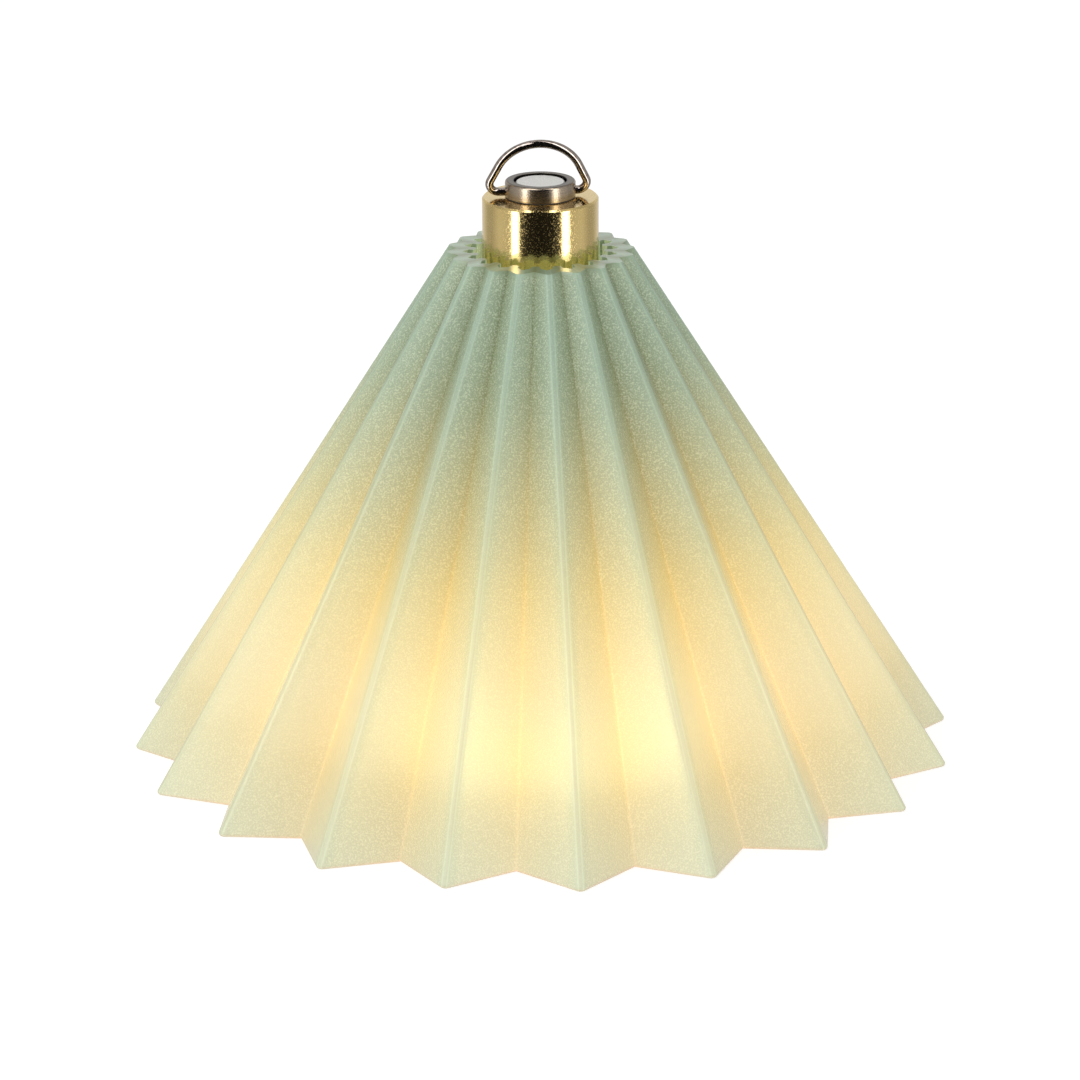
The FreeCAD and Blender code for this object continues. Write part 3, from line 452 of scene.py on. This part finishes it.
def turned_steel(settings):
    """Turned stainless steel: satin, with fine rings left by the tool.

    The end face is darker than the side, as painted shade where a face looks up, and the bore round
    the button is dark.
    """
    material, tree = start_material("turned_steel")
    place = add(tree, "ShaderNodeTexCoord").outputs["Object"]
    parts = add(tree, "ShaderNodeSeparateXYZ", {0: place})
    flat = add(tree, "ShaderNodeVectorMath", {0: place, 1: FLATTEN}, operation="MULTIPLY")
    radius = add(tree, "ShaderNodeVectorMath", {0: flat}, operation="LENGTH").outputs["Value"]

    # Rings up the side and out over the end face, broken by specks
    along = add(tree, "ShaderNodeMath", {0: parts.outputs["Z"], 1: radius}, operation="ADD")
    rings = add(tree, "ShaderNodeTexNoise", {
        "W": along, "Scale": 1 / settings.collar_rings, "Detail": 2.0}, noise_dimensions="1D")
    grit = add(tree, "ShaderNodeTexNoise", {
        "Vector": place, "Scale": 1 / settings.collar_grit, "Detail": 1.0})
    mark = add(tree, "ShaderNodeMath", {
        0: rings.outputs["Fac"], 1: grit.outputs["Fac"]}, operation="ADD")
    relief = add(tree, "ShaderNodeBump", {"Height": mark, "Distance": 0.012 * MM})

    # Dimmer in the marks, darker on the end face as painted shade, and dark in the bore
    level = add(tree, "ShaderNodeMapRange", {
        "Value": mark, "From Min": 0.7, "From Max": 1.3, "To Min": 0.82, "To Max": 1.12})
    normal = add(tree, "ShaderNodeNewGeometry").outputs["True Normal"]
    upward = add(tree, "ShaderNodeSeparateXYZ", {0: normal}).outputs["Z"]
    painted_end_shade = add(tree, "ShaderNodeMapRange", {
        "Value": upward, "From Min": 0.75, "From Max": 0.98, "To Min": 1.0, "To Max": 0.3})
    bore = add(tree, "ShaderNodeMapRange", {
        "Value": radius, "From Min": settings.collar_bore, "From Max": settings.collar_mouth,
        "To Min": 0.03, "To Max": 1.0})
    for factor in (painted_end_shade, bore):
        level = add(tree, "ShaderNodeMath", {0: level, 1: factor}, operation="MULTIPLY")
    colour = add(tree, "ShaderNodeVectorMath", {
        0: settings.collar, "Scale": level}, operation="SCALE")
    surface = add(tree, "ShaderNodeBsdfPrincipled", {
        "Base Color": colour,
        "Metallic": 1.0,
        "Roughness": 0.27,
        "Normal": relief,
    })
    end_material(tree, surface)
    return material


def lit_polycarbonate(settings):
    """Frosted polycarbonate over the light chips: a warm glow, a little stronger at the foot."""
    material, tree = start_material("lit_polycarbonate")
    place = add(tree, "ShaderNodeTexCoord").outputs["Object"]
    parts = add(tree, "ShaderNodeSeparateXYZ", {0: place})
    low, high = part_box("globe")
    height = add(tree, "ShaderNodeMapRange", {
        "Value": parts.outputs["Z"], "From Min": low.z, "From Max": high.z,
        "To Min": 1.0, "To Max": 0.75})
    grain = add(tree, "ShaderNodeTexNoise", {
        "Vector": place, "Scale": 1 / settings.globe_grain, "Detail": 2.0}).outputs["Fac"]
    speck = add(tree, "ShaderNodeMapRange", {
        "Value": grain, "From Min": 0.3, "From Max": 0.7, "To Min": 0.94, "To Max": 1.06})
    level = add(tree, "ShaderNodeMath", {0: height, 1: speck}, operation="MULTIPLY")
    light = add(tree, "ShaderNodeVectorMath", {
        0: settings.globe_light, "Scale": level}, operation="SCALE")
    relief = add(tree, "ShaderNodeBump", {"Height": grain, "Distance": 0.04 * MM})
    surface = add(tree, "ShaderNodeBsdfPrincipled", {
        "Base Color": rgba(settings.globe),
        "Roughness": 0.45,
        "IOR": 1.58,
        "Normal": relief,
        "Emission Color": light,
        "Emission Strength": 0.5,
    })
    end_material(tree, surface)
    return material


def grained(name, pale, dark, grain, roughness, depth, metallic=0.0):
    """A finish with one grain, made of two colours, two roughnesses and a relief.

    The width of the grain and the depth of the relief are in millimetres.
    """
    material, tree = start_material(name)
    place = add(tree, "ShaderNodeTexCoord").outputs["Object"]
    noise = add(tree, "ShaderNodeTexNoise", {
        "Vector": place, "Scale": 1 / (grain * MM), "Detail": 2.0}).outputs["Fac"]
    fleck = add(tree, "ShaderNodeMapRange", {"Value": noise, "From Min": 0.3, "From Max": 0.7})
    colour = add(tree, "ShaderNodeMix", {
        0: fleck, 6: rgba(linear(dark)), 7: rgba(linear(pale))}, data_type="RGBA")
    shine = add(tree, "ShaderNodeMapRange", {
        "Value": fleck, "To Min": roughness[0], "To Max": roughness[1]})
    relief = add(tree, "ShaderNodeBump", {"Height": noise, "Distance": depth * MM})
    surface = add(tree, "ShaderNodeBsdfPrincipled", {
        "Base Color": colour.outputs[2],
        "Metallic": metallic,
        "Roughness": shine,
        "Normal": relief,
    })
    end_material(tree, surface)
    return material


# Stage

def add_camera(scene, settings):
    """Adds the camera, in front of the lamp and a little above it."""
    azimuth, elevation = settings.camera_azimuth, settings.camera_elevation
    backward = Vector((
        math.sin(azimuth) * math.cos(elevation),
        -math.cos(azimuth) * math.cos(elevation),
        math.sin(elevation),
    ))
    lens = bpy.data.cameras.new("camera")
    lens.lens = settings.camera_lens
    lens.sensor_width = SENSOR_WIDTH
    lens.shift_x = settings.camera_shift
    lens.clip_start = NEAR_CLIP
    camera = bpy.data.objects.new("camera", lens)
    aim = Vector((0, 0, settings.camera_aim))
    roll = Matrix.Rotation(settings.camera_roll, 4, "Z")
    camera.matrix_world = facing(aim + backward * settings.camera_distance, aim) @ roll
    scene.collection.objects.link(camera)
    scene.camera = camera


def add_floor(context, settings):
    """Adds the floor: matt for the light that it throws back, nearly white in view."""
    bpy.ops.mesh.primitive_plane_add(size=settings.floor_size)
    floor = context.object
    floor.name = "floor"
    floor.visible_glossy = False
    material, tree = start_material("pale_floor")
    matt = add(tree, "ShaderNodeBsdfDiffuse", {"Color": rgba(settings.floor)})
    shaded = add(tree, "ShaderNodeBsdfDiffuse", {"Color": rgba(settings.floor_seen)})
    glow = add(tree, "ShaderNodeEmission", {"Color": WHITE, "Strength": settings.floor_glow})
    seen = add(tree, "ShaderNodeAddShader", {0: shaded, 1: glow})
    path = add(tree, "ShaderNodeLightPath")
    both = add(tree, "ShaderNodeMixShader", {
        0: path.outputs["Is Camera Ray"], 1: matt, 2: seen})
    end_material(tree, both)
    floor.data.materials.append(material)


def add_surroundings(scene, settings):
    """Adds the world: soft light, surroundings that the metals mirror and a white backdrop."""
    world = bpy.data.worlds.new("studio")
    scene.world = world
    world.use_nodes = True
    tree = world.node_tree
    tree.nodes.clear()
    way = add(tree, "ShaderNodeTexCoord").outputs["Generated"]

    # Soft light that falls off from left to right
    sides = add(tree, "ShaderNodeSeparateXYZ", {0: way})
    falling = add(tree, "ShaderNodeMapRange", {
        "Value": sides.outputs["X"], "From Min": -1.0, "From Max": 1.0,
        "To Min": settings.soft_left, "To Max": settings.soft_right})
    soft = add(tree, "ShaderNodeBackground", {"Color": WHITE, "Strength": falling})

    # Surroundings by the turn away from the camera's side, the same on the left and the right
    front = (math.sin(settings.camera_azimuth), -math.cos(settings.camera_azimuth), 0)
    flat = add(tree, "ShaderNodeVectorMath", {0: way, 1: FLATTEN}, operation="MULTIPLY")
    unit = add(tree, "ShaderNodeVectorMath", {0: flat}, operation="NORMALIZE")
    toward = add(tree, "ShaderNodeVectorMath", {0: unit, 1: front}, operation="DOT_PRODUCT")
    angle = add(tree, "ShaderNodeMath", {0: toward.outputs["Value"]}, operation="ARCCOSINE")
    turn = add(tree, "ShaderNodeMath", {0: angle, 1: math.pi}, operation="DIVIDE")
    panels = add(tree, "ShaderNodeValToRGB", {0: turn})
    set_levels(panels, MIRROR_BY_TURN)
    mirror = add(tree, "ShaderNodeBackground", {
        "Color": panels, "Strength": settings.mirror_strength})

    # Backdrop for camera rays, surroundings for mirrored and transmitted rays, else the soft light
    path = add(tree, "ShaderNodeLightPath")
    shiny = add(tree, "ShaderNodeMath", {
        0: path.outputs["Is Glossy Ray"], 1: path.outputs["Is Transmission Ray"]},
        operation="MAXIMUM")
    backdrop = add(tree, "ShaderNodeBackground", {"Color": WHITE, "Strength": 1.0})
    lighting = add(tree, "ShaderNodeMixShader", {0: shiny, 1: soft, 2: mirror})
    whole = add(tree, "ShaderNodeMixShader", {
        0: path.outputs["Is Camera Ray"], 1: lighting, 2: backdrop})
    add(tree, "ShaderNodeOutputWorld", {"Surface": whole})


def add_lights(scene, settings, pool_colour):
    """Adds a softbox above the camera and a pool of light on the floor round the globe.

    The pool shines up: it shows through the frosted wall and lights nothing else.
    """
    softbox = bpy.data.lights.new("softbox", "AREA")
    softbox.size = settings.softbox_size
    softbox.energy = settings.softbox_power
    stand = bpy.data.objects.new("softbox", softbox)
    stand.matrix_world = facing(
        Vector(settings.softbox_place), Vector((0, 0, settings.softbox_aim)))
    scene.collection.objects.link(stand)

    pool = bpy.data.lights.new("pool", "AREA")
    pool.shape = "DISK"
    pool.size = settings.pool_size
    pool.energy = settings.pool_power
    pool.color = pool_colour
    disc = bpy.data.objects.new("pool", pool)
    lying = Matrix.Translation((0, 0, settings.pool_height))
    disc.matrix_world = lying @ Matrix.Rotation(math.pi, 4, "X")
    disc.visible_camera = disc.visible_diffuse = disc.visible_glossy = False
    scene.collection.objects.link(disc)


# Operators

class LAMP_OT_shade(bpy.types.Operator):
    """Finishes the pleated shade"""
    bl_idname = "lamp.shade"
    bl_label = "Shade"

    def execute(self, context):
        finish_nodes(frosted_polypropylene(context.scene.lamp_shade), "shade")
        return {"FINISHED"}


class LAMP_OT_lantern(bpy.types.Operator):
    """Finishes the brass, the collar, the ring, the button, the head and the globe"""
    bl_idname = "lamp.lantern"
    bl_label = "Lantern"

    def execute(self, context):
        settings = context.scene.lamp_lantern
        finish_nodes(polished_brass(settings),
                     "tail_cap", "battery_tube", "retaining_ring", "positive_contact")
        finish_nodes(turned_steel(settings), "bezel")
        finish_nodes(lit_polycarbonate(settings), "globe")
        # Drawn and polished wire: a dark mirror with a bright line, dulled a little by handling
        finish_nodes(grained(
            "polished_wire", "#B9AEA5", "#8A7F77",
            grain=0.6, roughness=(0.05, 0.12), depth=0.002, metallic=1.0), "hanging_ring")
        # Bead-blasted aluminium: pale grey, matt, with a grain like fine sand
        finish_nodes(grained(
            "blasted_aluminium", "#FAF9F5", "#DCDBD6",
            grain=0.25, roughness=(0.45, 0.6), depth=0.02, metallic=1.0), "button")
        # Turned aluminium: bright and cool, with short tool marks
        finish_nodes(grained(
            "turned_aluminium", "#DADBDC", "#C2C4C6",
            grain=0.3, roughness=(0.18, 0.3), depth=0.004, metallic=1.0), "head")
        return {"FINISHED"}


class LAMP_OT_insides(bpy.types.Operator):
    """Finishes the pieces inside the lantern and the neck"""
    bl_idname = "lamp.insides"
    bl_label = "Insides"

    def execute(self, context):
        # Moulded silicone: milky, soft shine, faint clouds
        finish_nodes(grained(
            "moulded_silicone", "#DFE3DC", "#CBD1C8",
            grain=1.2, roughness=(0.3, 0.42), depth=0.01), "shade_collar", "thermal_pad")
        # Drawn spring steel: grey, a little oily, with fine die marks
        finish_nodes(grained(
            "drawn_spring_steel", "#A9ABAE", "#85878B",
            grain=0.25, roughness=(0.2, 0.36), depth=0.004, metallic=1.0),
            "collar_clip", "cell_spring", "led_screws")
        # Moulded nitrile rubber: nearly black and matt, with a faint bloom
        finish_nodes(grained(
            "moulded_nitrile", "#2B2B2C", "#171718",
            grain=0.5, roughness=(0.55, 0.75), depth=0.01),
            "bezel_seal", "button_oring", "tube_seal", "head_seal", "globe_seal")
        # Moulded black nylon: dark, with the even grain of the mould
        finish_nodes(grained(
            "moulded_nylon", "#2F2F30", "#202021",
            grain=0.3, roughness=(0.4, 0.55), depth=0.01),
            "switch_plunger", "switch_body", "switch_carrier", "driver_parts")
        # Fibreglass board under green solder mask: glossy, with the weave faintly showing
        finish_nodes(grained(
            "masked_fibreglass", "#1F6B45", "#174F34",
            grain=0.7, roughness=(0.25, 0.35), depth=0.005), "switch_board", "driver_board")
        # Heat-shrunk film round the cell: smooth, grey blue, with shrink ripples
        finish_nodes(grained(
            "shrunk_film", "#5E6F86", "#4F5F74",
            grain=2.5, roughness=(0.2, 0.3), depth=0.03), "battery_cell")
        # Nickel plate on pressed steel: bright, slightly warm, with pressing marks
        finish_nodes(grained(
            "plated_nickel", "#D5D1C8", "#C2BDB3",
            grain=0.4, roughness=(0.15, 0.25), depth=0.003, metallic=1.0), "cell_terminal")
        # Extruded PVC on the leads: red, smooth, with faint draw lines
        finish_nodes(grained(
            "extruded_vinyl", "#B83A30", "#A23028",
            grain=0.5, roughness=(0.35, 0.45), depth=0.005), "led_leads")
        # White solder mask on a metal core: pale, even, faintly orange-peeled
        finish_nodes(grained(
            "white_solder_mask", "#F0EFEA", "#E2E1DB",
            grain=0.5, roughness=(0.25, 0.35), depth=0.004), "led_board")
        # Phosphor gel over the light chips: yellow, smooth, softly clouded
        finish_nodes(grained(
            "phosphor_gel", "#F4D565", "#E9C24A",
            grain=0.4, roughness=(0.2, 0.3), depth=0.004), "led_emitters")
        return {"FINISHED"}


class LAMP_OT_stage(bpy.types.Operator):
    """Adds the camera, the floor, the surroundings and the lights"""
    bl_idname = "lamp.stage"
    bl_label = "Stage"

    def execute(self, context):
        scene = context.scene
        settings = scene.lamp_stage
        scene.view_settings.view_transform = "Standard"
        add_camera(scene, settings)
        add_floor(context, settings)
        add_surroundings(scene, settings)
        add_lights(scene, settings, scene.lamp_lantern.globe_light)
        return {"FINISHED"}


class LAMP_PT_sidebar(bpy.types.Panel):
    """Lists the steps that dress the lamp, and their settings"""
    bl_idname = "LAMP_PT_sidebar"
    bl_label = "Pleated lamp"
    bl_space_type = "VIEW_3D"
    bl_region_type = "UI"
    bl_category = "Lamp"

    def draw(self, context):
        for step in STEPS:
            self.layout.operator(step.bl_idname)
        for name, group in GROUPS.items():
            column = self.layout.column()
            for setting in group.__annotations__:
                column.prop(getattr(context.scene, name), setting)


STEPS = (LAMP_OT_shade, LAMP_OT_lantern, LAMP_OT_insides, LAMP_OT_stage)
GROUPS = {
    "lamp_shade": LampShadeSettings,
    "lamp_lantern": LampLanternSettings,
    "lamp_stage": LampStageSettings,
}


def register():
    """Adds the classes, and the settings to the scene."""
    for group in (*GROUPS.values(), *STEPS, LAMP_PT_sidebar):
        bpy.utils.register_class(group)
    for name, group in GROUPS.items():
        setattr(bpy.types.Scene, name, PointerProperty(type=group))


def unregister():
    """Takes the settings and the classes away again."""
    for name in GROUPS:
        delattr(bpy.types.Scene, name)
    for group in reversed((*GROUPS.values(), *STEPS, LAMP_PT_sidebar)):
        bpy.utils.unregister_class(group)


def main():
    """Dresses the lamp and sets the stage."""
    register()
    bpy.ops.lamp.shade()
    bpy.ops.lamp.lantern()
    bpy.ops.lamp.insides()
    bpy.ops.lamp.stage()


if __name__ == "__main__":
    main()
